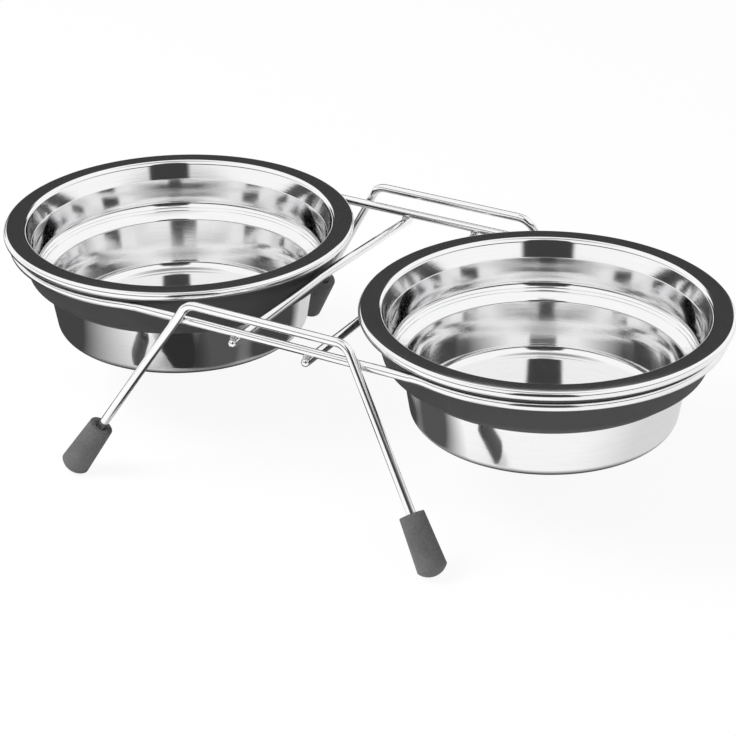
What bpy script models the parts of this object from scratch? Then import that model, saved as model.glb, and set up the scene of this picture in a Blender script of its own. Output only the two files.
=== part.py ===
"""Raised double pet bowl: two stepped steel bowls in a welded wire holder on four rubber feet."""

import math

import bmesh
import bpy
from mathutils import Vector

# All sizes are in metres. Z = 0 is the floor, and the origin lies midway between the two bowls.
# Heights of a bowl's own features are counted down from the middle of its rolled edge.

# Holder and bowls as a whole
BOWL_SPACING = 0.1986
RIM_HEIGHT = 0.0877
FIT = 0.0003

# Bowl
RIM_RADIUS = 0.085
FLANGE_WIDTH = 0.0105
BEAD_RADIUS = 0.002
SHEET = 0.0008
CURL_END = math.radians(-165)
SHOULDER_RADIUS = 0.0025
CREASE_DEPTH = 0.0071
CREASE_STEP = 0.0004
UPPER_TAPER = 0.0014
MIDDLE_TAPER = 0.0008
LEDGE_TOP_DEPTH = 0.0203
LEDGE_DROP = 0.0059
LEDGE_WIDTH = 0.0075
LEDGE_TOP_FILLET = 0.004
LEDGE_EDGE_FILLET = 0.0017
FLOOR_DEPTH = 0.0519
LOWER_TAPER = 0.0041
FLOOR_FILLET = 0.0055

# Rubber collar under the rim
COLLAR_SEAT_WALL = 0.0025
COLLAR_LIP_WALL = 0.0008
COLLAR_KNEE_FILLET = 0.005
COLLAR_SEAT_LENGTH = 0.0022
COLLAR_BRIM_INSET = 0.001
COLLAR_EDGE_FILLET = 0.0004

# Wire holder
WIRE_RADIUS = 0.0021
LOOP_DROP = 0.0063
LOOP_PINCH = 0.0032
LOOP_EASE_RADIUS = 0.04
CROSS_WIRE_BOW = 0.0009
CROSS_WIRE_FRONT_SHIFT = 0.0012
CROSS_WIRE_BACK_SHIFT = 0.0035
CROSS_WIRE_BEND = 0.02
CROSS_WIRE_STUB = 0.002
BAR_RISE = 0.0033
BAR_HALF_LENGTH = 0.0415
BAR_BEND_RADIUS = 0.0085
LEG_SPLAY_X = math.tan(math.radians(31.8))
LEG_SPLAY_Y = math.tan(math.radians(12.7))
BACK_LEG_SHIFT = 0.008

# Foot caps
FOOT_TOP_RADIUS = 0.0058
FOOT_BOTTOM_RADIUS = 0.0069
FOOT_LENGTH = 0.0252
FOOT_DOME = 0.0036
FOOT_FLAT_DEPTH = 0.0005
FOOT_BORE_DEPTH = 0.016
FOOT_TOP_FILLET = 0.0008

# Facets
TURNED_STEPS = 40
FOOT_STEPS = 18
LOOP_STEP = math.radians(6.5)
WIRE_BEND_STEPS = 5
WIRE_END_STEPS = 3
WIRE_END_TURN = math.radians(78)
CRISP_ANGLE = math.radians(40)

LEFT, RIGHT = -1, 1
FRONT, BACK = -1, 1
SIDE_NAMES = {LEFT: "left", RIGHT: "right"}
DEPTH_NAMES = {FRONT: "front", BACK: "back"}
LEG_SHIFTS = {FRONT: 0.0, BACK: BACK_LEG_SHIFT}

# Values that follow from the sizes above
MOUTH_RADIUS = RIM_RADIUS - FLANGE_WIDTH
BEAD_CENTRE = RIM_RADIUS - BEAD_RADIUS
COLLAR_SEAT_RADIUS = MOUTH_RADIUS + SHEET + FIT + COLLAR_SEAT_WALL
COLLAR_SEAT_DEPTH = LOOP_DROP - WIRE_RADIUS - FIT
LOOP_RADIUS = COLLAR_SEAT_RADIUS + FIT + WIRE_RADIUS
LOOP_WAIST = LOOP_RADIUS - LOOP_PINCH
LOOP_HEIGHT = RIM_HEIGHT - LOOP_DROP
WIRE_PITCH = 2 * WIRE_RADIUS + FIT
CROSS_WIRE_HEIGHT = LOOP_HEIGHT - WIRE_PITCH
BAR_HEIGHT = RIM_HEIGHT + BAR_RISE


def clear_scene():
    for old in list(bpy.data.objects):
        bpy.data.objects.remove(old, do_unlink=True)


def new_collection(name, hidden=False):
    collection = bpy.data.collections.new(name)
    collection.hide_render = hidden
    bpy.context.scene.collection.children.link(collection)
    return collection


def new_material(name, colour, roughness, metallic):
    material = bpy.data.materials.new(name)
    material.use_nodes = True
    shader = material.node_tree.nodes["Principled BSDF"]
    shader.inputs["Base Color"].default_value = (*colour, 1.0)
    shader.inputs["Roughness"].default_value = roughness
    shader.inputs["Metallic"].default_value = metallic
    material.diffuse_color = (*colour, 1.0)
    return material


def arc(centre, radius, start, end, steps):
    """Points of an arc in the XZ plane, ends included. Angles are in radians from +X towards +Z."""
    angles = [start + (end - start) * i / steps for i in range(steps + 1)]
    return [centre + radius * Vector((math.cos(a), 0, math.sin(a))) for a in angles]


def fillet(before, corner, after, radius, steps):
    """Points that round the corner between two straight runs with an arc of the given radius."""
    to_before = (before - corner).normalized()
    to_after = (after - corner).normalized()
    half = to_before.angle(to_after) / 2
    setback = radius / math.tan(half)
    centre = corner + (to_before + to_after).normalized() * radius / math.sin(half)
    first = corner + to_before * setback - centre
    last = corner + to_after * setback - centre
    return [centre + first.slerp(last, i / steps) * radius for i in range(steps + 1)]


def rounded_path(corners):
    """Points along straight runs with rounded corners. A corner is (point, fillet radius, arc steps)."""
    points = [corners[0][0]]
    for i in range(1, len(corners) - 1):
        corner, radius, steps = corners[i]
        if radius > 0:
            points += fillet(corners[i - 1][0], corner, corners[i + 1][0], radius, steps)
        else:
            points.append(corner)
    points.append(corners[-1][0])
    return points


def offset_path(points, distance):
    """The path moved to its right in the XZ plane, with mitred corners."""
    runs = [(b - a).normalized() for a, b in zip(points, points[1:])]
    normals = [Vector((run.z, 0, -run.x)) for run in runs]
    moved = []
    for i, point in enumerate(points):
        before = normals[max(i - 1, 0)]
        after = normals[min(i, len(normals) - 1)]
        mitre = (before + after).normalized()
        moved.append(point + mitre * distance / mitre.dot(after))
    return moved


def level_point(points, z):
    """The first place where a path crosses the given height."""
    for a, b in zip(points, points[1:]):
        if min(a.z, b.z) <= z <= max(a.z, b.z) and a.z != b.z:
            return a.lerp(b, (z - a.z) / (b.z - a.z))
    raise ValueError("the path doesn't reach this height")


def in_plane(r, z):
    return Vector((r, 0, z))


def turned(name, profile, steps, material, collection, closed=False):
    """A solid of revolution. The profile lies in the XZ plane and runs down its outer side."""
    mesh = bpy.data.meshes.new(name)
    shape = bmesh.new()
    vertices = [shape.verts.new(point) for point in profile]
    for a, b in zip(vertices, vertices[1:]):
        shape.edges.new((a, b))
    if closed:
        shape.edges.new((vertices[-1], vertices[0]))
    shape.to_mesh(mesh)
    shape.free()
    mesh.materials.append(material)
    piece = bpy.data.objects.new(name, mesh)
    collection.objects.link(piece)
    screw = piece.modifiers.new("Turn", "SCREW")
    screw.steps = steps
    screw.render_steps = steps
    screw.use_merge_vertices = True
    screw.merge_threshold = 0.00001
    return piece


def settle(piece):
    """Makes the modifiers part of the mesh, and shades it smooth with crisp corners."""
    graph = bpy.context.evaluated_depsgraph_get()
    mesh = bpy.data.meshes.new_from_object(piece.evaluated_get(graph))
    piece.modifiers.clear()
    piece.data = mesh
    mesh.shade_smooth()
    mesh.set_sharp_from_angle(angle=CRISP_ANGLE)


def wire(name, points, material, collection, closed=False):
    """A round wire along the points, with rounded ends where it is open."""
    curve = bpy.data.curves.new(name, "CURVE")
    curve.dimensions = "3D"
    curve.bevel_depth = WIRE_RADIUS
    curve.bevel_resolution = 2
    curve.use_fill_caps = True
    curve.materials.append(material)
    route = [(point, 1.0) for point in points]
    if not closed:
        first = rounded_end(points[1], points[0])
        last = rounded_end(points[-2], points[-1])
        route = first[::-1] + route[1:-1] + last
    spline = curve.splines.new("POLY")
    spline.points.add(len(route) - 1)
    for control, (point, share) in zip(spline.points, route):
        control.co = (*point, 1.0)
        control.radius = share
    spline.use_cyclic_u = closed
    spline.use_smooth = True
    piece = bpy.data.objects.new(name, curve)
    collection.objects.link(piece)
    return piece


def rounded_end(inner, tip):
    """Route points that dome the end of a wire: (point, share of the full radius), towards the tip."""
    back = (inner - tip).normalized() * WIRE_RADIUS
    turns = [WIRE_END_TURN * i / WIRE_END_STEPS for i in range(WIRE_END_STEPS + 1)]
    return [(tip + back * (1 - math.sin(turn)), math.cos(turn)) for turn in turns]


def bowl_corners():
    """Corners of a bowl's inside, from its axis out to the rim: (point, fillet radius, arc steps)."""
    crease = MOUTH_RADIUS - UPPER_TAPER
    middle = crease - CREASE_STEP
    ledge_top = middle - MIDDLE_TAPER
    ledge_edge = ledge_top - LEDGE_WIDTH
    floor_edge = ledge_edge - LOWER_TAPER
    return [
        (in_plane(0, -FLOOR_DEPTH), 0, 0),
        (in_plane(floor_edge, -FLOOR_DEPTH), FLOOR_FILLET, 3),
        (in_plane(ledge_edge, -LEDGE_TOP_DEPTH - LEDGE_DROP), LEDGE_EDGE_FILLET, 2),
        (in_plane(ledge_top, -LEDGE_TOP_DEPTH), LEDGE_TOP_FILLET, 2),
        (in_plane(middle, -CREASE_DEPTH - CREASE_STEP), 0, 0),
        (in_plane(crease, -CREASE_DEPTH), 0, 0),
        (in_plane(MOUTH_RADIUS, BEAD_RADIUS), SHOULDER_RADIUS, 3),
        (in_plane(BEAD_CENTRE, BEAD_RADIUS), 0, 0),
    ]


def make_bowl(side, material, collection):
    """A pressed bowl. Its flange rolls over and curls back under itself, and the curl stays open."""
    inside = rounded_path(bowl_corners())
    outside = offset_path(inside, SHEET)
    middle = in_plane(BEAD_CENTRE, 0)
    curl_outside = arc(middle, BEAD_RADIUS, math.pi / 2, CURL_END, 9)
    curl_inside = arc(middle, BEAD_RADIUS - SHEET, CURL_END, math.pi / 2, 7)
    profile = inside[:-1] + curl_outside + curl_inside + outside[-2::-1]
    return turned("bowl_" + SIDE_NAMES[side], profile, TURNED_STEPS, material, collection)


def make_lift_axis(side, collection):
    """An empty on a bowl's upright axis. The bowl and its collar lift out along it together."""
    axis = bpy.data.objects.new("lift_axis_" + SIDE_NAMES[side], None)
    axis.location = (side * BOWL_SPACING / 2, 0, RIM_HEIGHT)
    collection.objects.link(axis)
    return axis


def collar_skin():
    """Corners of the collar's outside: its waist below the loop, its knee and its lower lip."""
    bare_corners = [point for point, radius, steps in bowl_corners()]
    skin = offset_path(bare_corners, SHEET + FIT + COLLAR_LIP_WALL)
    waist = in_plane(COLLAR_SEAT_RADIUS, -COLLAR_SEAT_DEPTH - COLLAR_SEAT_LENGTH)
    return waist, skin[3], skin[2]


def make_collar(side, material, collection):
    """A rubber collar under the flange. Its brim lies between curl and loop, and it grips the ledge."""
    waist, knee, lip = collar_skin()
    grip_path = offset_path(rounded_path(bowl_corners()), SHEET + FIT)
    grip_end = level_point(grip_path, lip.z)
    grip = [p for p in grip_path if p.z > lip.z + FIT and p.x < COLLAR_SEAT_RADIUS]
    curl_side = BEAD_CENTRE - BEAD_RADIUS - FIT
    brim = BEAD_CENTRE - COLLAR_BRIM_INSET
    brim_top = -BEAD_RADIUS - FIT
    corners = [
        (grip[-1], 0, 0),
        (in_plane(curl_side, grip_path[-1].z), COLLAR_EDGE_FILLET, 1),
        (in_plane(curl_side, brim_top), 0, 0),
        (in_plane(brim, brim_top), COLLAR_EDGE_FILLET, 1),
        (in_plane(brim, -COLLAR_SEAT_DEPTH), COLLAR_EDGE_FILLET, 1),
        (in_plane(COLLAR_SEAT_RADIUS, -COLLAR_SEAT_DEPTH), 0, 0),
        (waist, 0, 0),
        (knee, COLLAR_KNEE_FILLET, 3),
        (lip, 0, 0),
        (grip_end, 0, 0),
    ]
    profile = rounded_path(corners) + grip[:-1]
    return turned("collar_" + SIDE_NAMES[side], profile, TURNED_STEPS, material, collection, closed=True)


def loop_points():
    """Centre line of the racetrack loop: an arc round each bowl, eased into straight sides at the waist."""
    ease = math.acos(1 - LOOP_PINCH / (LOOP_RADIUS + LOOP_EASE_RADIUS))
    half_turn = math.pi / 2 + ease
    arc_steps = math.ceil(2 * half_turn / LOOP_STEP)
    ease_steps = max(2, math.ceil(ease / LOOP_STEP))
    ease_x = BOWL_SPACING / 2 - (LOOP_RADIUS + LOOP_EASE_RADIUS) * math.sin(ease)
    ease_y = LOOP_WAIST + LOOP_EASE_RADIUS
    half = []
    for i in range(arc_steps + 1):
        turn = -half_turn + 2 * half_turn * i / arc_steps
        x = BOWL_SPACING / 2 + LOOP_RADIUS * math.cos(turn)
        half.append(Vector((x, LOOP_RADIUS * math.sin(turn), LOOP_HEIGHT)))
    for i in range(1, ease_steps + 1):
        turn = ease * (1 - i / ease_steps)
        x = ease_x + LOOP_EASE_RADIUS * math.sin(turn)
        half.append(Vector((x, ease_y - LOOP_EASE_RADIUS * math.cos(turn), LOOP_HEIGHT)))
    ease_in = [Vector((p.x, -p.y, p.z)) for p in half[:arc_steps:-1]]
    half = ease_in + half
    return half + [Vector((-p.x, -p.y, p.z)) for p in half]


def make_cross_wire(side, material, collection):
    """A wire under the loop, from front to back past a collar. Its ends lie a little to the right."""
    waist, knee, lip = collar_skin()
    cone = (waist - knee).normalized()
    contact = level_point([waist, knee], CROSS_WIRE_HEIGHT - RIM_HEIGHT).x + (WIRE_RADIUS + FIT) / cone.z
    middle = BOWL_SPACING / 2 - contact
    end_y = LOOP_WAIST + WIRE_RADIUS + CROSS_WIRE_STUB
    end_x = side * (middle - CROSS_WIRE_BOW)
    front = Vector((end_x + CROSS_WIRE_FRONT_SHIFT, -end_y, CROSS_WIRE_HEIGHT))
    back = Vector((end_x + CROSS_WIRE_BACK_SHIFT, end_y, CROSS_WIRE_HEIGHT))
    vertex = Vector((side * middle, 0, CROSS_WIRE_HEIGHT))
    corners = [(front, 0, 0), (vertex, CROSS_WIRE_BEND, WIRE_BEND_STEPS), (back, 0, 0)]
    return wire("cross_wire_" + SIDE_NAMES[side], rounded_path(corners), material, collection)


def leg_direction(side, depth):
    return Vector((side * LEG_SPLAY_X, depth * LEG_SPLAY_Y, -1)).normalized()


def bar_distance():
    """How far out a leg wire's top bar lies, so that its legs touch the loop's straight side."""
    slant = math.sqrt(1 + LEG_SPLAY_Y**2)
    return LOOP_WAIST + WIRE_PITCH * slant - LEG_SPLAY_Y * (BAR_HEIGHT - LOOP_HEIGHT)


def leg_corner(side, depth):
    """Where a leg meets its top bar. The back wire is welded on a little to the right."""
    return Vector((side * BAR_HALF_LENGTH + LEG_SHIFTS[depth], depth * bar_distance(), BAR_HEIGHT))


def foot_dome_radius():
    return (FOOT_BOTTOM_RADIUS**2 + FOOT_DOME**2) / (2 * FOOT_DOME)


def foot_dome_centre(side, depth):
    """Centre of the dome under a foot: on the leg's line, low enough for the floor to cut the dome flat."""
    corner = leg_corner(side, depth)
    direction = leg_direction(side, depth)
    height = foot_dome_radius() - FOOT_FLAT_DEPTH
    return corner + direction * (corner.z - height) / -direction.z


def foot_edge_drop():
    """How far the widest edge of a foot lies beyond its dome's centre, along the leg."""
    return foot_dome_radius() - FOOT_DOME


def make_leg_wire(depth, material, collection):
    """A level bar at the top with a splayed leg at each end, bent from one wire."""
    ends = []
    for side in (LEFT, RIGHT):
        bore_bottom = FOOT_LENGTH - foot_edge_drop() - FOOT_BORE_DEPTH
        ends.append(foot_dome_centre(side, depth) - leg_direction(side, depth) * (bore_bottom + FIT))
    corners = [
        (ends[0], 0, 0),
        (leg_corner(LEFT, depth), BAR_BEND_RADIUS, WIRE_BEND_STEPS),
        (leg_corner(RIGHT, depth), BAR_BEND_RADIUS, WIRE_BEND_STEPS),
        (ends[1], 0, 0),
    ]
    return wire(DEPTH_NAMES[depth] + "_leg_wire", rounded_path(corners), material, collection)


def make_floor_cutter(collection):
    """A block below the floor that cuts each foot flat."""
    bpy.ops.mesh.primitive_cube_add(size=1)
    block = bpy.context.active_object
    block.name = "floor_cutter"
    reach = BOWL_SPACING + 2 * RIM_RADIUS
    depth = 4 * FOOT_BOTTOM_RADIUS
    block.scale = (2 * reach, 2 * reach, depth)
    block.location = (0, 0, -depth / 2)
    block.hide_render = True
    block.display_type = "WIRE"
    for owner in list(block.users_collection):
        owner.objects.unlink(block)
    collection.objects.link(block)
    return block


def make_foot(side, depth, cutter, material, collection):
    """A tapered cap with a blind bore for the leg, a domed end and a flat where it stands."""
    dome = foot_dome_radius()
    edge = -foot_edge_drop()
    top = edge + FOOT_LENGTH
    bore = WIRE_RADIUS + FIT
    dome_start = math.asin(edge / dome)
    side_corners = [
        (in_plane(0, top - FOOT_BORE_DEPTH), 0, 0),
        (in_plane(bore, top - FOOT_BORE_DEPTH), 0, 0),
        (in_plane(bore, top), 0, 0),
        (in_plane(FOOT_TOP_RADIUS, top), FOOT_TOP_FILLET, 2),
        (in_plane(FOOT_BOTTOM_RADIUS, edge), 0, 0),
    ]
    profile = rounded_path(side_corners)[:-1] + arc(in_plane(0, 0), dome, dome_start, -math.pi / 2, 4)
    profile[-1].x = 0
    name = "foot_" + DEPTH_NAMES[depth] + "_" + SIDE_NAMES[side]
    foot = turned(name, profile, FOOT_STEPS, material, collection)
    foot.location = foot_dome_centre(side, depth)
    foot.rotation_mode = "QUATERNION"
    foot.rotation_quaternion = (-leg_direction(side, depth)).to_track_quat("Z", "Y")
    cut = foot.modifiers.new("Stand flat", "BOOLEAN")
    cut.object = cutter
    cut.operation = "DIFFERENCE"
    cut.solver = "EXACT"
    return foot


def main():
    clear_scene()
    product = new_collection("raised_double_pet_bowl")
    helpers = new_collection("cutters", hidden=True)
    steel = new_material("polished_steel", (0.80, 0.80, 0.81), 0.12, 1.0)
    chrome = new_material("chrome_wire", (0.86, 0.86, 0.87), 0.08, 1.0)
    rubber = new_material("grey_rubber", (0.075, 0.075, 0.078), 0.62, 0.0)
    cutter = make_floor_cutter(helpers)
    turned_pieces = []
    for side in (LEFT, RIGHT):
        lifted = [
            make_bowl(side, steel, product),
            make_collar(side, rubber, product),
        ]
        axis = make_lift_axis(side, product)
        for piece in lifted:
            piece.parent = axis
        turned_pieces += lifted
        make_cross_wire(side, chrome, product)
    wire("holder_loop", loop_points(), chrome, product, closed=True)
    for depth in (FRONT, BACK):
        make_leg_wire(depth, chrome, product)
        turned_pieces += [make_foot(side, depth, cutter, rubber, product) for side in (LEFT, RIGHT)]
    for piece in turned_pieces:
        settle(piece)


main()
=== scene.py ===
"""Looks of the raised double pet bowl: polished bowls, rubber collars and feet, and a bright wire holder."""

import math

import bmesh
import bpy
from mathutils import Matrix, Vector, noise


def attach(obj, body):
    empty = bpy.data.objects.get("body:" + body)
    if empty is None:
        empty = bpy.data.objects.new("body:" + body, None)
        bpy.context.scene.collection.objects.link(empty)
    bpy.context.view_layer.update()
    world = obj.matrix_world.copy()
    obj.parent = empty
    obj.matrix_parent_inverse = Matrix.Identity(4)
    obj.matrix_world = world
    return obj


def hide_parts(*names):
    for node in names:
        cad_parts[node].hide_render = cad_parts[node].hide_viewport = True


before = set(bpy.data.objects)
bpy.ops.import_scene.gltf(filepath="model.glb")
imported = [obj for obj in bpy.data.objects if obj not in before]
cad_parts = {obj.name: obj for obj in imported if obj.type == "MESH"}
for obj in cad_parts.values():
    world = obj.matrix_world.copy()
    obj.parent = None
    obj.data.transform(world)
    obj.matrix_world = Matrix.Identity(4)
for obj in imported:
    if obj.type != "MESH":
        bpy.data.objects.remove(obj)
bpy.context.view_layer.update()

# All sizes are in metres. Z = 0 is the floor, and the origin lies midway between the two bowls.
# Heights of a bowl's own features are counted down from the middle of its rolled edge.

# Holder and bowls as a whole
BOWL_SPACING = 0.1986
RIM_HEIGHT = 0.0877
FIT = 0.0003

# Bowl
RIM_RADIUS = 0.085
FLANGE_WIDTH = 0.0105
BEAD_RADIUS = 0.002
SHEET = 0.0008
CURL_END = math.radians(-165)
SHOULDER_RADIUS = 0.0025
CREASE_DEPTH = 0.0071
CREASE_STEP = 0.0004
UPPER_TAPER = 0.0014
MIDDLE_TAPER = 0.0008
LEDGE_TOP_DEPTH = 0.0203
LEDGE_DROP = 0.0059
LEDGE_WIDTH = 0.0075
LEDGE_TOP_FILLET = 0.004
LEDGE_EDGE_FILLET = 0.0017
FLOOR_DEPTH = 0.0519
LOWER_TAPER = 0.0041
FLOOR_FILLET = 0.0055

# The visible bowl's own mouth and crease, and the grooves round its ledge
PRESSED_TAPER = 0.0024
PRESSED_CREASE_DEPTH = 0.0067
PRESSED_STEP = 0.0002
PRESSED_FILLET = 0.0002
GROOVE_SHARES = (0.56, 0.75)
GROOVE_WIDTH = 0.0006
GROOVE_DEPTH = 0.00013

# Rubber collar under the rim
COLLAR_SEAT_WALL = 0.0025
COLLAR_LIP_WALL = 0.0008
COLLAR_KNEE_FILLET = 0.005
COLLAR_SEAT_LENGTH = 0.0022
COLLAR_BRIM_INSET = 0.001
COLLAR_EDGE_FILLET = 0.0004
COLLAR_LIP_FILLET = 0.0003
COLLAR_SEAT_FILLET = 0.0006
COLLAR_WAIST_FILLET = 0.001

# Wire holder
WIRE_RADIUS = 0.0021
LOOP_DROP = 0.0063
LOOP_PINCH = 0.0032
LOOP_EASE_RADIUS = 0.04
CROSS_WIRE_BOW = 0.0009
CROSS_WIRE_FRONT_SHIFT = 0.0012
CROSS_WIRE_BACK_SHIFT = 0.0035
CROSS_WIRE_BEND = 0.02
CROSS_WIRE_STUB = 0.002
BAR_RISE = 0.0033
BAR_HALF_LENGTH = 0.0415
BAR_BEND_RADIUS = 0.0085
LEG_SPLAY_X = math.tan(math.radians(31.8))
LEG_SPLAY_Y = math.tan(math.radians(12.7))
BACK_LEG_SHIFT = 0.008

# Weld beads
WELD_RADIUS = 0.0024
WELD_ACROSS = 0.55
WELD_ALONG = 1.25
WELD_SIDEWAYS = 0.78
WELD_LUMPS = 0.10
WELD_LUMP_FINENESS = 2.3
WELD_SEED_STEP = 7.1

# Foot caps
FOOT_TOP_RADIUS = 0.0058
FOOT_BOTTOM_RADIUS = 0.0069
FOOT_LENGTH = 0.0252
FOOT_DOME = 0.0036
FOOT_FLAT_DEPTH = 0.0005
FOOT_BORE_DEPTH = 0.016
FOOT_TOP_FILLET = 0.0004
FOOT_EDGE_FILLET = 0.0006
FOOT_DOME_EASE = 0.14
FOOT_MOUTH_DEPTH = 0.0005
FOOT_MOUTH_WIDTH = 0.0006
FOOT_MOUTH_SLOPE = 0.0004
FOOT_MOUTH_FILLET = 0.0002

# Facets
TURNED_STEPS = 256
FOOT_STEPS = 72
LOOP_STEP = math.radians(1.5)
WIRE_SIDES = 28
WIRE_END_TURNS = [math.radians(turn) for turn in (0, 15, 30, 45, 58, 70, 80, 86)]
CROSS_WIRE_BEND_STEPS = 12
BAR_BEND_STEPS = 30
NEAREST_STEPS = 20
CURL_OUTSIDE_STEPS = 32
CURL_INSIDE_STEPS = 24
CUT_EDGE_STEPS = 8
FOOT_DOME_STEPS = 10
WELD_SUBDIVISIONS = 4
CRISP_ANGLE = math.radians(35)
WELD_CRISP_ANGLE = math.radians(60)
ON_AXIS = 1e-7

LEFT, RIGHT = -1, 1
FRONT, BACK = -1, 1
SIDE_NAMES = {LEFT: "left", RIGHT: "right"}
DEPTH_NAMES = {FRONT: "front", BACK: "back"}
LEG_SHIFTS = {FRONT: 0.0, BACK: BACK_LEG_SHIFT}

# Values that follow from the sizes above
MOUTH_RADIUS = RIM_RADIUS - FLANGE_WIDTH
BEAD_CENTRE = RIM_RADIUS - BEAD_RADIUS
COLLAR_SEAT_RADIUS = MOUTH_RADIUS + SHEET + FIT + COLLAR_SEAT_WALL
COLLAR_SEAT_DEPTH = LOOP_DROP - WIRE_RADIUS - FIT
LOOP_RADIUS = COLLAR_SEAT_RADIUS + FIT + WIRE_RADIUS
LOOP_WAIST = LOOP_RADIUS - LOOP_PINCH
LOOP_HEIGHT = RIM_HEIGHT - LOOP_DROP
WIRE_PITCH = 2 * WIRE_RADIUS + FIT
CROSS_WIRE_HEIGHT = LOOP_HEIGHT - WIRE_PITCH
BAR_HEIGHT = RIM_HEIGHT + BAR_RISE

# Colours, from the darker to the lighter tone of each material
POLISHED_TONES = ((0.90, 0.90, 0.905), (0.94, 0.94, 0.942))
WELD_TONES = ((0.42, 0.41, 0.40), (0.78, 0.78, 0.79))
COLLAR_TONES = ((0.046, 0.046, 0.047), (0.056, 0.056, 0.057))
FOOT_TONES = ((0.075, 0.075, 0.077), (0.135, 0.135, 0.137))
FLOOR_COLOUR = (0.92, 0.92, 0.92, 1)

# Roughness, from the smoothest to the dullest spot of each material
STEEL_ROUGHNESS = (0.055, 0.10)
WIRE_ROUGHNESS = (0.09, 0.15)
WELD_ROUGHNESS = (0.15, 0.35)
COLLAR_ROUGHNESS = (0.6, 0.75)
FOOT_ROUGHNESS = (0.45, 0.6)

# Parts of a noise texture's range that are stretched over a material's whole range
MOST_NOISE = (0.3, 0.7)
MIDDLE_NOISE = (0.35, 0.65)
NARROW_NOISE = (0.38, 0.62)

# Fineness of the polishing lines across a bowl and round it
POLISH_ACROSS = 60.0
POLISH_ROUND = 0.25

# Camera
AZIMUTH = math.radians(30.37)
ELEVATION = math.radians(24.76)
ROLL = math.radians(0.484)
CAMERA_DISTANCE = 1.140275
CAMERA_AIM_HEIGHT = 0.088
SENSOR_WIDTH = 36
CLIP_START = 0.01
FOCAL_PIXELS = 2432.3
FRAME_PIXELS = 736
AIM_PIXEL = (355.84, 264.35)

# Light
WORLD_LIGHT = 0.42
WORLD_SEEN = 1.0
FLOOR_HALF_SIZE = 6
FLOOR_DROP = 0.0002
FLOOR_GLOW_SEEN_OR_MIRRORED = 0.5
FLOOR_GLOW_SEEN = 0.42
LAMP_AIM = (0, 0, 0.05)
LAMPS = (
    # name, place, width, power
    ("key", (-0.9, -0.7, 1.4), 0.8, 28),
    ("fill", (1.2, -0.8, 1.0), 0.9, 4),
)

# Dark cards that polished surfaces mirror. U and V are CARD_MIDDLE at the middle of a card.
CARD_COLUMNS = 24
OVAL_STEPS = 48
CARD_MIDDLE = 0.5
STANDING_CARDS = (
    # name, distance, bearing, half width, low, high, shade, soft edge, fade
    ("card_behind", 6.0, -151, 24, 1.2, 4.0, 0.05, 4, 0.12),
    ("card_behind_low", 5.8, -145, 34, 0.0, 1.5, 0.012, 6, 0.12),
    ("card_round_lens", 0.58, 34.1, 19.2, 0.02, 1.08, 0.05, 3, 0.11),
    ("card_over_lens", 0.58, 34.1, 15, 1.0, 1.8, 0.3, 8, 0.12),
    ("card_room", 5.5, 27, 125, 1.1, 3.6, 0.08, 80, 0.25),
)
FLAT_CARDS = (
    # name, centre, radii, shade, soft share
    ("card_overhead", (-0.21, 0.365, 3.0), (1.1, 1.1), 0.30, 0.7),
    # The next four ovals lie on the floor where only polished metal sees them: painted dark reflections in
    # the bowls' outside walls.
    ("card_floor_middle", (-0.042, -0.098, 0.0006), (0.040, 0.046), 0.03, 0.5),
    ("card_floor_waist", (0.0, -0.060, 0.0005), (0.075, 0.050), 0.09, 0.5),
    ("card_floor_left", (-0.300, -0.020, 0.0006), (0.260, 0.200), 0.06, 0.45),
    ("card_floor_between", (0.002, 0.030, 0.0003), (0.034, 0.085), 0.06, 0.5),
    # These two are painted shadow under each bowl, which the bowls' lower edges mirror; only polished metal
    # sees them.
    ("card_under_left", (-BOWL_SPACING / 2, 0, 0.0004), (RIM_RADIUS, RIM_RADIUS), 0.05, 0.4),
    ("card_under_right", (BOWL_SPACING / 2, 0, 0.0004), (RIM_RADIUS, RIM_RADIUS), 0.08, 0.4),
)


# Profiles

def in_plane(r, z):
    return Vector((r, 0, z))


def arc(centre, radius, start, end, steps):
    """Points of an arc in the XZ plane, ends included. Angles are in radians from +X towards +Z."""
    angles = [start + (end - start) * i / steps for i in range(steps + 1)]
    return [centre + radius * Vector((math.cos(a), 0, math.sin(a))) for a in angles]


def fillet(before, corner, after, radius, steps):
    """Points that round the corner between two straight runs with an arc of the given radius."""
    to_before = (before - corner).normalized()
    to_after = (after - corner).normalized()
    half = to_before.angle(to_after) / 2
    setback = radius / math.tan(half)
    centre = corner + (to_before + to_after).normalized() * radius / math.sin(half)
    first = corner + to_before * setback - centre
    last = corner + to_after * setback - centre
    return [centre + first.slerp(last, i / steps) * radius for i in range(steps + 1)]


def rounded_path(corners):
    """Points along straight runs with rounded corners. A corner is (point, fillet radius, arc steps)."""
    points = [corners[0][0]]
    for i in range(1, len(corners) - 1):
        corner, radius, steps = corners[i]
        if radius > 0:
            points += fillet(corners[i - 1][0], corner, corners[i + 1][0], radius, steps)
        else:
            points.append(corner)
    points.append(corners[-1][0])
    return points


def offset_path(points, distance):
    """The path moved to its right in the XZ plane, with mitred corners."""
    runs = [(b - a).normalized() for a, b in zip(points, points[1:])]
    normals = [Vector((run.z, 0, -run.x)) for run in runs]
    moved = []
    for i, point in enumerate(points):
        before = normals[max(i - 1, 0)]
        after = normals[min(i, len(normals) - 1)]
        mitre = (before + after).normalized()
        moved.append(point + mitre * distance / mitre.dot(after))
    return moved


def level_point(points, z):
    """The first place where a path crosses the given height."""
    for a, b in zip(points, points[1:]):
        if min(a.z, b.z) <= z <= max(a.z, b.z) and a.z != b.z:
            return a.lerp(b, (z - a.z) / (b.z - a.z))
    raise ValueError("the path doesn't reach this height")


# Meshes

def mesh_from(shape, name):
    mesh = bpy.data.meshes.new(name)
    shape.to_mesh(mesh)
    shape.free()
    return mesh


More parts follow.
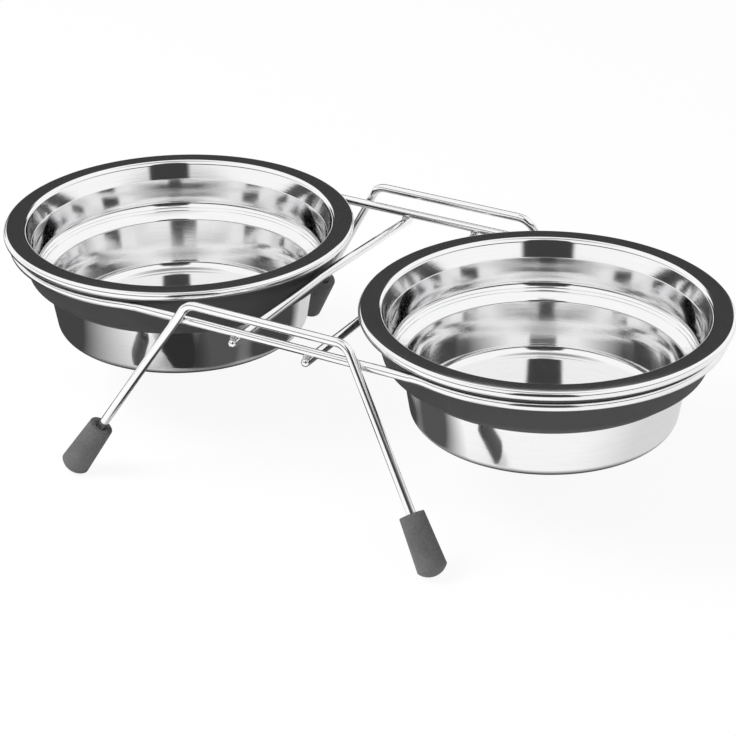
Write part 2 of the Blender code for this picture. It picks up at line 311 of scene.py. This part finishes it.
def join_rings(shape, upper, lower):
    """Faces between two rings of vertices. A ring of one vertex is a pole."""
    count = max(len(upper), len(lower))
    for i in range(count):
        j = (i + 1) % count
        if len(upper) == 1:
            shape.faces.new((upper[0], lower[j], lower[i]))
        elif len(lower) == 1:
            shape.faces.new((upper[i], upper[j], lower[0]))
        else:
            shape.faces.new((upper[i], upper[j], lower[j], lower[i]))


def turned_mesh(name, profile, steps=TURNED_STEPS, closed=False):
    """A solid of revolution about Z. The profile lies in the XZ plane."""
    turns = [2 * math.pi * i / steps for i in range(steps)]
    shape = bmesh.new()
    rings = []
    for point in profile:
        if point.x < ON_AXIS:
            places = [(0, 0, point.z)]
        else:
            places = [(point.x * math.cos(turn), point.x * math.sin(turn), point.z) for turn in turns]
        rings.append([shape.verts.new(place) for place in places])
    for upper, lower in zip(rings, rings[1:]):
        join_rings(shape, upper, lower)
    if closed:
        join_rings(shape, rings[-1], rings[0])
    bmesh.ops.recalc_face_normals(shape, faces=shape.faces)
    return mesh_from(shape, name)


def rounded_end(inner, tip):
    """Route points that dome the end of a wire: (point, share of the full radius), towards the tip."""
    back = (inner - tip).normalized() * WIRE_RADIUS
    return [(tip + back * (1 - math.sin(turn)), math.cos(turn)) for turn in WIRE_END_TURNS]


def tangents_along(points, closed):
    """The direction of a route at each point, midway between its runs before and after."""
    runs = [(b - a).normalized() for a, b in zip(points, points[1:])]
    closing = (points[0] - points[-1]).normalized()
    before = [closing if closed else runs[0]] + runs
    after = runs + [closing if closed else runs[-1]]
    return [(a + b).normalized() for a, b in zip(before, after)]


def wire_mesh(name, points, closed):
    """A round wire along the points, with domed ends where it is open."""
    route = [(point, 1.0) for point in points]
    if not closed:
        first = rounded_end(points[1], points[0])
        last = rounded_end(points[-2], points[-1])
        route = first[::-1] + route[1:-1] + last
    tangents = tangents_along([point for point, share in route], closed)
    turns = [2 * math.pi * i / WIRE_SIDES for i in range(WIRE_SIDES)]
    side = tangents[0].orthogonal().normalized()
    shape = bmesh.new()
    rings = []
    for (point, share), tangent in zip(route, tangents):
        side = (side - tangent * side.dot(tangent)).normalized()
        up = tangent.cross(side)
        reach = WIRE_RADIUS * share
        places = [point + (side * math.cos(turn) + up * math.sin(turn)) * reach for turn in turns]
        rings.append([shape.verts.new(place) for place in places])
    for upper, lower in zip(rings, rings[1:]):
        join_rings(shape, upper, lower)
    if closed:
        start, end = rings[0], rings[-1]
        twist = min(range(WIRE_SIDES), key=lambda i: (end[0].co - start[i].co).length)
        join_rings(shape, end, start[twist:] + start[:twist])
    else:
        shape.faces.new(rings[0][::-1])
        shape.faces.new(rings[-1])
    bmesh.ops.recalc_face_normals(shape, faces=shape.faces)
    return mesh_from(shape, name)


def finish_piece(mesh, material, body, node=None, place=None, crisp=CRISP_ANGLE):
    """Puts a mesh into the scene as a piece that rides on a body and may stand for a CAD node."""
    mesh.shade_smooth()
    mesh.set_sharp_from_angle(angle=crisp)
    mesh.materials.append(material)
    piece = bpy.data.objects.new(mesh.name, mesh)
    if place is not None:
        piece.matrix_world = place
    bpy.context.scene.collection.objects.link(piece)
    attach(piece, body)
    if node is not None:
        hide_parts(node)


# Bowls and collars

def solid_corners():
    """Corners of the solid bowl's inside, from its axis out to the rim."""
    crease = MOUTH_RADIUS - UPPER_TAPER
    middle = crease - CREASE_STEP
    ledge_top = middle - MIDDLE_TAPER
    ledge_edge = ledge_top - LEDGE_WIDTH
    floor_edge = ledge_edge - LOWER_TAPER
    return [
        in_plane(0, -FLOOR_DEPTH),
        in_plane(floor_edge, -FLOOR_DEPTH),
        in_plane(ledge_edge, -LEDGE_TOP_DEPTH - LEDGE_DROP),
        in_plane(ledge_top, -LEDGE_TOP_DEPTH),
        in_plane(middle, -CREASE_DEPTH - CREASE_STEP),
        in_plane(crease, -CREASE_DEPTH),
        in_plane(MOUTH_RADIUS, BEAD_RADIUS),
        in_plane(BEAD_CENTRE, BEAD_RADIUS),
    ]


def groove_corners(inner, outer):
    """Corners of the fine grooves in a sloping ledge: (point, fillet radius, arc steps)."""
    slope = outer - inner
    down = Vector((slope.z, 0, -slope.x)).normalized()
    half = GROOVE_WIDTH / 2 / slope.length
    corners = []
    for share in GROOVE_SHARES:
        corners += [
            (inner + slope * (share - half), PRESSED_FILLET, 2),
            (inner + slope * share + down * GROOVE_DEPTH, PRESSED_FILLET, 2),
            (inner + slope * (share + half), PRESSED_FILLET, 2),
        ]
    return corners


def pressed_corners():
    """Corners of the visible bowl's inside, with a steeper mouth and a crisper crease than the solid's."""
    solid = solid_corners()
    crease = MOUTH_RADIUS - PRESSED_TAPER
    middle = crease - PRESSED_STEP
    ledge_edge = solid[2]
    ledge_top = in_plane(middle - MIDDLE_TAPER, -LEDGE_TOP_DEPTH)
    return [
        (solid[0], 0, 0),
        (solid[1], FLOOR_FILLET, 14),
        (ledge_edge, LEDGE_EDGE_FILLET, 9),
        *groove_corners(ledge_edge, ledge_top),
        (ledge_top, LEDGE_TOP_FILLET, 12),
        (in_plane(middle, -PRESSED_CREASE_DEPTH - PRESSED_STEP), PRESSED_FILLET, 3),
        (in_plane(crease, -PRESSED_CREASE_DEPTH), PRESSED_FILLET, 3),
        (solid[-2], SHOULDER_RADIUS, 12),
        (solid[-1], 0, 0),
    ]


def finish_with_bowl(mesh, material, side, node):
    """Sets a turned piece on its bowl's axis, where it lifts out with the bowl."""
    place = Matrix.Translation((side * BOWL_SPACING / 2, 0, RIM_HEIGHT))
    finish_piece(mesh, material, SIDE_NAMES[side] + "_bowl", node, place)


def make_bowl(side, material):
    """A pressed bowl. Its flange rolls over and curls back under itself, and the curl stays open."""
    inside = rounded_path(pressed_corners())
    outside = offset_path(inside, SHEET)
    middle = in_plane(BEAD_CENTRE, 0)
    edge_middle = middle + (BEAD_RADIUS - SHEET / 2) * in_plane(math.cos(CURL_END), math.sin(CURL_END))
    curl_outside = arc(middle, BEAD_RADIUS, math.pi / 2, CURL_END, CURL_OUTSIDE_STEPS)
    cut_edge = arc(edge_middle, SHEET / 2, CURL_END, CURL_END - math.pi, CUT_EDGE_STEPS)
    curl_inside = arc(middle, BEAD_RADIUS - SHEET, CURL_END, math.pi / 2, CURL_INSIDE_STEPS)
    profile = inside[:-1] + curl_outside[:-1] + cut_edge[:-1] + curl_inside + outside[-2::-1]
    node = "bowl_" + SIDE_NAMES[side]
    mesh = turned_mesh(node + "_steel", profile)
    finish_with_bowl(mesh, material, side, node)


def collar_skin():
    """Corners of the collar's outside: its waist below the loop, its knee and its lower lip."""
    skin = offset_path(solid_corners(), SHEET + FIT + COLLAR_LIP_WALL)
    waist = in_plane(COLLAR_SEAT_RADIUS, -COLLAR_SEAT_DEPTH - COLLAR_SEAT_LENGTH)
    return waist, skin[3], skin[2]


def make_collar(side, material):
    """A rubber collar under the flange. Its brim lies between curl and loop, and it grips the ledge."""
    waist, knee, lip = collar_skin()
    grip_path = offset_path(rounded_path(pressed_corners()), SHEET + FIT)
    grip_end = level_point(grip_path, lip.z)
    grip = [p for p in grip_path if p.z > lip.z + FIT and p.x < COLLAR_SEAT_RADIUS]
    curl_side = BEAD_CENTRE - BEAD_RADIUS - FIT
    brim = BEAD_CENTRE - COLLAR_BRIM_INSET
    brim_top = -BEAD_RADIUS - FIT
    corners = [
        (grip[-1], 0, 0),
        (in_plane(curl_side, grip_path[-1].z), COLLAR_EDGE_FILLET, 4),
        (in_plane(curl_side, brim_top), COLLAR_LIP_FILLET, 3),
        (in_plane(brim, brim_top), COLLAR_EDGE_FILLET, 4),
        (in_plane(brim, -COLLAR_SEAT_DEPTH), COLLAR_EDGE_FILLET, 4),
        (in_plane(COLLAR_SEAT_RADIUS, -COLLAR_SEAT_DEPTH), COLLAR_SEAT_FILLET, 3),
        (waist, COLLAR_WAIST_FILLET, 3),
        (knee, COLLAR_KNEE_FILLET, 10),
        (lip, COLLAR_LIP_FILLET, 3),
        (grip_end, 0, 0),
    ]
    node = "collar_" + SIDE_NAMES[side]
    mesh = turned_mesh(node + "_rubber", rounded_path(corners) + grip[:-1], closed=True)
    finish_with_bowl(mesh, material, side, node)


# Wire holder

def loop_points():
    """Centre line of the racetrack loop: an arc round each bowl, eased into straight sides at the waist."""
    ease = math.acos(1 - LOOP_PINCH / (LOOP_RADIUS + LOOP_EASE_RADIUS))
    half_turn = math.pi / 2 + ease
    arc_steps = math.ceil(2 * half_turn / LOOP_STEP)
    ease_steps = math.ceil(ease / LOOP_STEP)
    ease_x = BOWL_SPACING / 2 - (LOOP_RADIUS + LOOP_EASE_RADIUS) * math.sin(ease)
    ease_y = LOOP_WAIST + LOOP_EASE_RADIUS
    half = []
    for i in range(arc_steps + 1):
        turn = -half_turn + 2 * half_turn * i / arc_steps
        x = BOWL_SPACING / 2 + LOOP_RADIUS * math.cos(turn)
        half.append(Vector((x, LOOP_RADIUS * math.sin(turn), LOOP_HEIGHT)))
    for i in range(1, ease_steps + 1):
        turn = ease * (1 - i / ease_steps)
        x = ease_x + LOOP_EASE_RADIUS * math.sin(turn)
        half.append(Vector((x, ease_y - LOOP_EASE_RADIUS * math.cos(turn), LOOP_HEIGHT)))
    ease_in = [Vector((p.x, -p.y, p.z)) for p in half[:arc_steps:-1]]
    half = ease_in + half
    return half + [Vector((-p.x, -p.y, p.z)) for p in half]


def cross_wire_points(side):
    """Centre line of a wire under the loop, from front to back past a collar. Its ends lie a little right."""
    waist, knee, lip = collar_skin()
    cone = (waist - knee).normalized()
    contact = level_point([waist, knee], CROSS_WIRE_HEIGHT - RIM_HEIGHT).x + (WIRE_RADIUS + FIT) / cone.z
    middle = BOWL_SPACING / 2 - contact
    end_x = side * (middle - CROSS_WIRE_BOW)
    end_y = LOOP_WAIST + WIRE_RADIUS + CROSS_WIRE_STUB
    front = Vector((end_x + CROSS_WIRE_FRONT_SHIFT, -end_y, CROSS_WIRE_HEIGHT))
    back = Vector((end_x + CROSS_WIRE_BACK_SHIFT, end_y, CROSS_WIRE_HEIGHT))
    vertex = Vector((side * middle, 0, CROSS_WIRE_HEIGHT))
    return rounded_path([(front, 0, 0), (vertex, CROSS_WIRE_BEND, CROSS_WIRE_BEND_STEPS), (back, 0, 0)])


def leg_direction(side, depth):
    return Vector((side * LEG_SPLAY_X, depth * LEG_SPLAY_Y, -1)).normalized()


def leg_corner(side, depth):
    """Where a leg meets its top bar, which lies so far out that the legs touch the loop."""
    slant = math.sqrt(1 + LEG_SPLAY_Y**2)
    distance = LOOP_WAIST + WIRE_PITCH * slant - LEG_SPLAY_Y * (BAR_HEIGHT - LOOP_HEIGHT)
    return Vector((side * BAR_HALF_LENGTH + LEG_SHIFTS[depth], depth * distance, BAR_HEIGHT))


def foot_dome_radius():
    return (FOOT_BOTTOM_RADIUS**2 + FOOT_DOME**2) / (2 * FOOT_DOME)


def foot_dome_centre(side, depth):
    """Centre of the dome under a foot: on the leg's line, low enough for the floor to cut the dome flat."""
    corner = leg_corner(side, depth)
    direction = leg_direction(side, depth)
    height = foot_dome_radius() - FOOT_FLAT_DEPTH
    return corner + direction * (corner.z - height) / -direction.z


def leg_points(depth):
    """Centre line of a leg wire: a level bar at the top with a splayed leg at each end."""
    bore_bottom = FOOT_LENGTH - (foot_dome_radius() - FOOT_DOME) - FOOT_BORE_DEPTH
    ends = []
    for side in (LEFT, RIGHT):
        ends.append(foot_dome_centre(side, depth) - leg_direction(side, depth) * (bore_bottom + FIT))
    return rounded_path([
        (ends[0], 0, 0),
        (leg_corner(LEFT, depth), BAR_BEND_RADIUS, BAR_BEND_STEPS),
        (leg_corner(RIGHT, depth), BAR_BEND_RADIUS, BAR_BEND_STEPS),
        (ends[1], 0, 0),
    ])


def make_wire(node, points, material, closed=False):
    mesh = wire_mesh(node + "_bright", points, closed)
    finish_piece(mesh, material, "holder", node)


def nearest_points(start, end, route):
    """The closest points of a straight run and a route."""
    pairs = []
    for a, b in zip(route, route[1:]):
        run = b - a
        for i in range(NEAREST_STEPS + 1):
            point = start.lerp(end, i / NEAREST_STEPS)
            share = min(max((point - a).dot(run) / run.length_squared, 0), 1)
            pairs.append((point, a + run * share))
    return min(pairs, key=lambda pair: (pair[0] - pair[1]).length)


def weld_mesh(name, spot, across, along, seed):
    """A lumpy bead between two wires, flat across the joint and longest along the run that is welded on."""
    across = across.normalized()
    along = (along - across * along.dot(across)).normalized()
    sideways = across.cross(along)
    shape = bmesh.new()
    bmesh.ops.create_icosphere(shape, subdivisions=WELD_SUBDIVISIONS, radius=1)
    for vertex in shape.verts:
        ball = vertex.co.copy()
        lump = 1 + WELD_LUMPS * noise.noise(ball * WELD_LUMP_FINENESS + Vector((seed, 0, 0)))
        bead = across * ball.x * WELD_ACROSS + along * ball.y * WELD_ALONG + sideways * ball.z * WELD_SIDEWAYS
        vertex.co = spot + bead * WELD_RADIUS * lump
    return mesh_from(shape, name)


def make_welds(material):
    """A bead at each of the eight places where a cross wire or a leg is welded to the loop."""
    loop = loop_points()
    loop.append(loop[0])
    runs = {}
    for side in (LEFT, RIGHT):
        points = cross_wire_points(side)
        runs["cross_" + SIDE_NAMES[side] + "_front"] = points[:2]
        runs["cross_" + SIDE_NAMES[side] + "_back"] = points[-2:]
    for depth in (FRONT, BACK):
        points = leg_points(depth)
        runs["leg_" + DEPTH_NAMES[depth] + "_left"] = points[:2]
        runs["leg_" + DEPTH_NAMES[depth] + "_right"] = points[-2:]
    for i, (name, (start, end)) in enumerate(runs.items()):
        on_run, on_loop = nearest_points(start, end, loop)
        spot = (on_run + on_loop) / 2
        mesh = weld_mesh("weld_" + name, spot, on_run - on_loop, end - start, i * WELD_SEED_STEP)
        finish_piece(mesh, material, "holder", crisp=WELD_CRISP_ANGLE)


def make_foot(side, depth, material):
    """A tapered cap with a blind bore for the leg, a domed end and a flat where it stands."""
    dome = foot_dome_radius()
    edge = FOOT_DOME - dome
    top = edge + FOOT_LENGTH
    mouth = top - FOOT_MOUTH_DEPTH
    bore = WIRE_RADIUS + FIT
    dome_start = math.asin(edge / dome) - FOOT_DOME_EASE
    domed_end = arc(in_plane(0, 0), dome, dome_start, -math.pi / 2, FOOT_DOME_STEPS)
    corners = [
        (in_plane(0, top - FOOT_BORE_DEPTH), 0, 0),
        (in_plane(bore, top - FOOT_BORE_DEPTH), 0, 0),
        (in_plane(bore, mouth), 0, 0),
        (in_plane(bore + FOOT_MOUTH_WIDTH, mouth), 0, 0),
        (in_plane(bore + FOOT_MOUTH_WIDTH + FOOT_MOUTH_SLOPE, top), FOOT_MOUTH_FILLET, 3),
        (in_plane(FOOT_TOP_RADIUS, top), FOOT_TOP_FILLET, 5),
        (in_plane(FOOT_BOTTOM_RADIUS, edge), FOOT_EDGE_FILLET, 5),
        (domed_end[0], 0, 0),
    ]
    node = "foot_" + DEPTH_NAMES[depth] + "_" + SIDE_NAMES[side]
    mesh = turned_mesh(node + "_cap", rounded_path(corners)[:-1] + domed_end, steps=FOOT_STEPS)
    # The slant goes into the mesh, so that the floor can cut the dome flat.
    mesh.transform((-leg_direction(side, depth)).to_track_quat("Z", "Y").to_matrix().to_4x4())
    centre = foot_dome_centre(side, depth)
    for vertex in mesh.vertices:
        vertex.co.z = max(vertex.co.z, -centre.z)
    finish_piece(mesh, material, "holder", node, Matrix.Translation(centre))


# Materials

def link(tree, out, into):
    tree.links.new(out, into)


def blank_material(name):
    """A material, its node tree, its shader, and the coordinates that its textures lie in."""
    material = bpy.data.materials.new(name)
    material.use_nodes = True
    tree = material.node_tree
    place = tree.nodes.new("ShaderNodeTexCoord").outputs["Object"]
    return material, tree, tree.nodes["Principled BSDF"], place


def math_node(tree, operation, a, b=None):
    node = tree.nodes.new("ShaderNodeMath")
    node.operation = operation
    for socket, value in zip(node.inputs, (a, b)):
        if value is None:
            continue
        if isinstance(value, (int, float)):
            socket.default_value = value
        else:
            link(tree, value, socket)
    return node.outputs[0]


def noise_texture(tree, place, scale, detail, roughness=0.5):
    node = tree.nodes.new("ShaderNodeTexNoise")
    node.inputs["Scale"].default_value = scale
    node.inputs["Detail"].default_value = detail
    node.inputs["Roughness"].default_value = roughness
    link(tree, place, node.inputs["Vector"])
    return node.outputs["Fac"]


def ramp(tree, value, reach, to):
    """The value, stretched from one range of numbers to another."""
    node = tree.nodes.new("ShaderNodeMapRange")
    for key, number in zip(("From Min", "From Max", "To Min", "To Max"), (*reach, *to)):
        node.inputs[key].default_value = number
    link(tree, value, node.inputs["Value"])
    return node.outputs["Result"]


def tone(tree, value, reach, tones):
    """A colour between two tones, as the value runs through its range."""
    node = tree.nodes.new("ShaderNodeMix")
    node.data_type = "RGBA"
    node.inputs["A"].default_value = (*tones[0], 1)
    node.inputs["B"].default_value = (*tones[1], 1)
    link(tree, ramp(tree, value, reach, (0, 1)), node.inputs["Factor"])
    return node.outputs["Result"]


def bump(tree, height, strength, distance):
    node = tree.nodes.new("ShaderNodeBump")
    node.inputs["Strength"].default_value = strength
    node.inputs["Distance"].default_value = distance
    link(tree, height, node.inputs["Height"])
    return node.outputs["Normal"]


def spun_place(tree, place):
    """Coordinates that run fast across a turned piece and slowly round it, as polishing lines do."""
    split = tree.nodes.new("ShaderNodeSeparateXYZ")
    link(tree, place, split.inputs[0])
    x, y, z = split.outputs
    squares = math_node(tree, "ADD", math_node(tree, "MULTIPLY", x, x), math_node(tree, "MULTIPLY", y, y))
    radius = math_node(tree, "SQRT", squares)
    turn = math_node(tree, "ABSOLUTE", math_node(tree, "ARCTAN2", y, x))
    join = tree.nodes.new("ShaderNodeCombineXYZ")
    link(tree, math_node(tree, "MULTIPLY", radius, POLISH_ACROSS), join.inputs[0])
    link(tree, math_node(tree, "MULTIPLY", z, POLISH_ACROSS), join.inputs[1])
    link(tree, math_node(tree, "MULTIPLY", turn, POLISH_ROUND), join.inputs[2])
    return join.outputs[0]


def steel_material():
    """Mirror-polished sheet with faint lines round it."""
    material, tree, shader, place = blank_material("polished_bowl_steel")
    lines = noise_texture(tree, spun_place(tree, place), scale=14, detail=6, roughness=0.65)
    cloud = noise_texture(tree, place, scale=28, detail=3)
    shader.inputs["Metallic"].default_value = 1.0
    link(tree, tone(tree, lines, MOST_NOISE, POLISHED_TONES), shader.inputs["Base Color"])
    link(tree, ramp(tree, cloud, MOST_NOISE, STEEL_ROUGHNESS), shader.inputs["Roughness"])
    link(tree, bump(tree, lines, strength=0.04, distance=0.0002), shader.inputs["Normal"])
    return material


def chrome_material():
    """Bright plating over drawn wire."""
    material, tree, shader, place = blank_material("bright_plated_wire")
    fine = noise_texture(tree, place, scale=900, detail=3)
    cloud = noise_texture(tree, place, scale=60, detail=3)
    shader.inputs["Metallic"].default_value = 1.0
    link(tree, tone(tree, cloud, MIDDLE_NOISE, POLISHED_TONES), shader.inputs["Base Color"])
    link(tree, ramp(tree, cloud, MOST_NOISE, WIRE_ROUGHNESS), shader.inputs["Roughness"])
    link(tree, bump(tree, fine, strength=0.03, distance=0.0001), shader.inputs["Normal"])
    return material


def weld_material():
    """Plated weld metal, duller and rougher than the wire."""
    material, tree, shader, place = blank_material("weld_bead_steel")
    fine = noise_texture(tree, place, scale=1400, detail=4)
    cloud = noise_texture(tree, place, scale=420, detail=3)
    shader.inputs["Metallic"].default_value = 1.0
    link(tree, tone(tree, cloud, MIDDLE_NOISE, WELD_TONES), shader.inputs["Base Color"])
    link(tree, ramp(tree, cloud, MOST_NOISE, WELD_ROUGHNESS), shader.inputs["Roughness"])
    link(tree, bump(tree, fine, strength=0.3, distance=0.0002), shader.inputs["Normal"])
    return material


def rubber_material(name, tones, roughness, grain, depth):
    """Moulded rubber with a fine grain and soft clouds. Depth is that of the grain."""
    material, tree, shader, place = blank_material(name)
    speckle = noise_texture(tree, place, scale=grain, detail=5, roughness=0.6)
    cloud = noise_texture(tree, place, scale=45, detail=4)
    blend = math_node(tree, "MULTIPLY", math_node(tree, "ADD", cloud, speckle), 0.5)
    link(tree, tone(tree, blend, NARROW_NOISE, tones), shader.inputs["Base Color"])
    link(tree, ramp(tree, speckle, MOST_NOISE, roughness), shader.inputs["Roughness"])
    link(tree, bump(tree, speckle, strength=0.4, distance=depth), shader.inputs["Normal"])
    return material


# Studio

def make_camera():
    """The camera looks past the middle of the rims, which land left of and above the picture's centre."""
    back = Vector((
        math.sin(AZIMUTH) * math.cos(ELEVATION),
        -math.cos(AZIMUTH) * math.cos(ELEVATION),
        math.sin(ELEVATION),
    ))
    right = Vector((math.cos(AZIMUTH), math.sin(AZIMUTH), 0))
    level = Matrix((right, back.cross(right), back))
    aim = Vector((
        (AIM_PIXEL[0] - FRAME_PIXELS / 2) / FOCAL_PIXELS,
        (FRAME_PIXELS / 2 - AIM_PIXEL[1]) / FOCAL_PIXELS,
        -1,
    ))
    pan = Vector((0, 0, -1)).rotation_difference(aim).to_matrix()
    turn = pan @ Matrix.Rotation(ROLL, 3, "Z") @ level
    data = bpy.data.cameras.new("camera")
    data.sensor_width = SENSOR_WIDTH
    data.lens = FOCAL_PIXELS * SENSOR_WIDTH / FRAME_PIXELS
    data.clip_start = CLIP_START
    camera = bpy.data.objects.new("camera", data)
    spot = Vector((0, 0, CAMERA_AIM_HEIGHT)) + back * CAMERA_DISTANCE
    camera.matrix_world = Matrix.Translation(spot) @ turn.transposed().to_4x4()
    bpy.context.scene.collection.objects.link(camera)
    bpy.context.scene.camera = camera


def make_lamp(name, spot, width, power):
    data = bpy.data.lights.new(name, "AREA")
    data.shape = "SQUARE"
    data.size = width
    data.energy = power
    lamp = bpy.data.objects.new(name, data)
    lamp.location = spot
    lamp.rotation_mode = "QUATERNION"
    lamp.rotation_quaternion = (Vector(spot) - Vector(LAMP_AIM)).to_track_quat("Z", "Y")
    lamp.visible_glossy = False
    bpy.context.scene.collection.objects.link(lamp)


def seen_or_mirrored(tree):
    """1 for rays from the camera and for rays that polished metal or glass sends on, else 0."""
    path = tree.nodes.new("ShaderNodeLightPath")
    seen = math_node(tree, "ADD", path.outputs["Is Camera Ray"], path.outputs["Is Glossy Ray"])
    return math_node(tree, "MINIMUM", math_node(tree, "ADD", seen, path.outputs["Is Transmission Ray"]), 1.0)


def make_world():
    """An even white room, which lights the object less than it shows."""
    world = bpy.data.worlds.new("studio")
    world.use_nodes = True
    bpy.context.scene.world = world
    tree = world.node_tree
    sky = tree.nodes["Background"]
    sky.inputs["Color"].default_value = (1, 1, 1, 1)
    link(tree, ramp(tree, seen_or_mirrored(tree), (0, 1), (WORLD_LIGHT, WORLD_SEEN)), sky.inputs["Strength"])


def stage_mix(mesh, first, second):
    """Gives a stage mesh a material of two shaders, and returns the node tree, both shaders and their mix."""
    material = bpy.data.materials.new(mesh.name)
    material.use_nodes = True
    tree = material.node_tree
    tree.nodes.clear()
    shaders = [tree.nodes.new(kind) for kind in (first, second)]
    mix = tree.nodes.new("ShaderNodeMixShader")
    for shader, socket in zip(shaders, mix.inputs[1:]):
        link(tree, shader.outputs[0], socket)
    link(tree, mix.outputs[0], tree.nodes.new("ShaderNodeOutputMaterial").inputs[0])
    mesh.materials.append(material)
    return tree, *shaders, mix


def make_floor():
    """A pale floor that takes the object's shadow and glows a little where it is seen or mirrored."""
    shape = bmesh.new()
    bmesh.ops.create_grid(shape, x_segments=1, y_segments=1, size=FLOOR_HALF_SIZE)
    mesh = mesh_from(shape, "floor")
    tree, matte, glow, mix = stage_mix(mesh, "ShaderNodeBsdfDiffuse", "ShaderNodeEmission")
    matte.inputs["Color"].default_value = FLOOR_COLOUR
    seen = tree.nodes.new("ShaderNodeLightPath").outputs["Is Camera Ray"]
    seen_share = math_node(tree, "MULTIPLY", seen, FLOOR_GLOW_SEEN)
    both_share = math_node(tree, "MULTIPLY", seen_or_mirrored(tree), FLOOR_GLOW_SEEN_OR_MIRRORED)
    link(tree, math_node(tree, "ADD", both_share, seen_share), mix.inputs[0])
    floor = bpy.data.objects.new("floor", mesh)
    floor.location.z = -FLOOR_DROP
    bpy.context.scene.collection.objects.link(floor)


def make_standing_card(name, distance, bearing, half_width, low, high, shade, soft, fade):
    """A dark card that stands round the middle of the object.

    Bearing, half width and soft edge are in degrees, and the bearing runs from the front towards +X. The side
    edges dissolve over the soft edge, and the top and bottom edges over fade, a share of the height.
    """
    shape = bmesh.new()
    layer = shape.loops.layers.uv.new("card")
    columns = []
    for i in range(CARD_COLUMNS + 1):
        across = i / CARD_COLUMNS
        turn = math.radians(bearing + half_width * (2 * across - 1))
        x = distance * math.sin(turn)
        y = -distance * math.cos(turn)
        columns.append((across, shape.verts.new((x, y, low)), shape.verts.new((x, y, high))))
    for (u0, low0, high0), (u1, low1, high1) in zip(columns, columns[1:]):
        face = shape.faces.new((low0, low1, high1, high0))
        for loop, uv in zip(face.loops, ((u0, 0), (u1, 0), (u1, 1), (u0, 1))):
            loop[layer].uv = uv
    finish_card(mesh_from(shape, name), shade, (soft / (2 * half_width), fade))


def make_flat_card(name, centre, radii, shade, soft):
    """A dark oval on the floor or overhead, whose edge dissolves over a share of its radius. The ovals on the
    floor are painted dark reflections and painted shadow, which only polished metal sees.
    """
    shape = bmesh.new()
    layer = shape.loops.layers.uv.new("card")
    middle = shape.verts.new(centre)
    ring = []
    for i in range(OVAL_STEPS):
        turn = 2 * math.pi * i / OVAL_STEPS
        x = centre[0] + radii[0] * math.cos(turn)
        y = centre[1] + radii[1] * math.sin(turn)
        ring.append(shape.verts.new((x, y, centre[2])))
    for a, b in zip(ring, ring[1:] + ring[:1]):
        face = shape.faces.new((middle, a, b))
        for loop, u in zip(face.loops, (CARD_MIDDLE, 0, 0)):
            loop[layer].uv = (u, CARD_MIDDLE)
    finish_card(mesh_from(shape, name), shade, (soft * CARD_MIDDLE,))


def finish_card(mesh, shade, edges):
    """Makes a card that only polished surfaces see. Edges are how far its soft edges reach along U and V."""
    tree, clear, glow, mix = stage_mix(mesh, "ShaderNodeBsdfTransparent", "ShaderNodeEmission")
    glow.inputs["Color"].default_value = (shade, shade, shade, 1)
    split = tree.nodes.new("ShaderNodeSeparateXYZ")
    link(tree, tree.nodes.new("ShaderNodeTexCoord").outputs["UV"], split.inputs[0])
    solid = 1.0
    for coordinate, width in zip(split.outputs, edges):
        from_edge = math_node(tree, "PINGPONG", coordinate, CARD_MIDDLE)
        solid = math_node(tree, "MULTIPLY", ramp(tree, from_edge, (0, width), (0, 1)), solid)
    link(tree, solid, mix.inputs[0])
    card = bpy.data.objects.new(mesh.name, mesh)
    card.visible_camera = False
    card.visible_diffuse = False
    card.visible_shadow = False
    card.visible_transmission = False
    card.visible_volume_scatter = False
    bpy.context.scene.collection.objects.link(card)


def make_object():
    steel = steel_material()
    chrome = chrome_material()
    rubber = rubber_material("matte_collar_rubber", COLLAR_TONES, COLLAR_ROUGHNESS, grain=1800, depth=0.0001)
    cap = rubber_material("moulded_foot_rubber", FOOT_TONES, FOOT_ROUGHNESS, grain=1100, depth=0.0003)
    for side in (LEFT, RIGHT):
        make_bowl(side, steel)
        make_collar(side, rubber)
        make_wire("cross_wire_" + SIDE_NAMES[side], cross_wire_points(side), chrome)
    make_wire("holder_loop", loop_points(), chrome, closed=True)
    for depth in (FRONT, BACK):
        make_wire(DEPTH_NAMES[depth] + "_leg_wire", leg_points(depth), chrome)
        for side in (LEFT, RIGHT):
            make_foot(side, depth, cap)
    make_welds(weld_material())


def make_studio():
    bpy.context.scene.view_settings.view_transform = "Standard"
    make_camera()
    make_world()
    make_floor()
    for card in STANDING_CARDS:
        make_standing_card(*card)
    for card in FLAT_CARDS:
        make_flat_card(*card)
    for lamp in LAMPS:
        make_lamp(*lamp)


make_object()
make_studio()
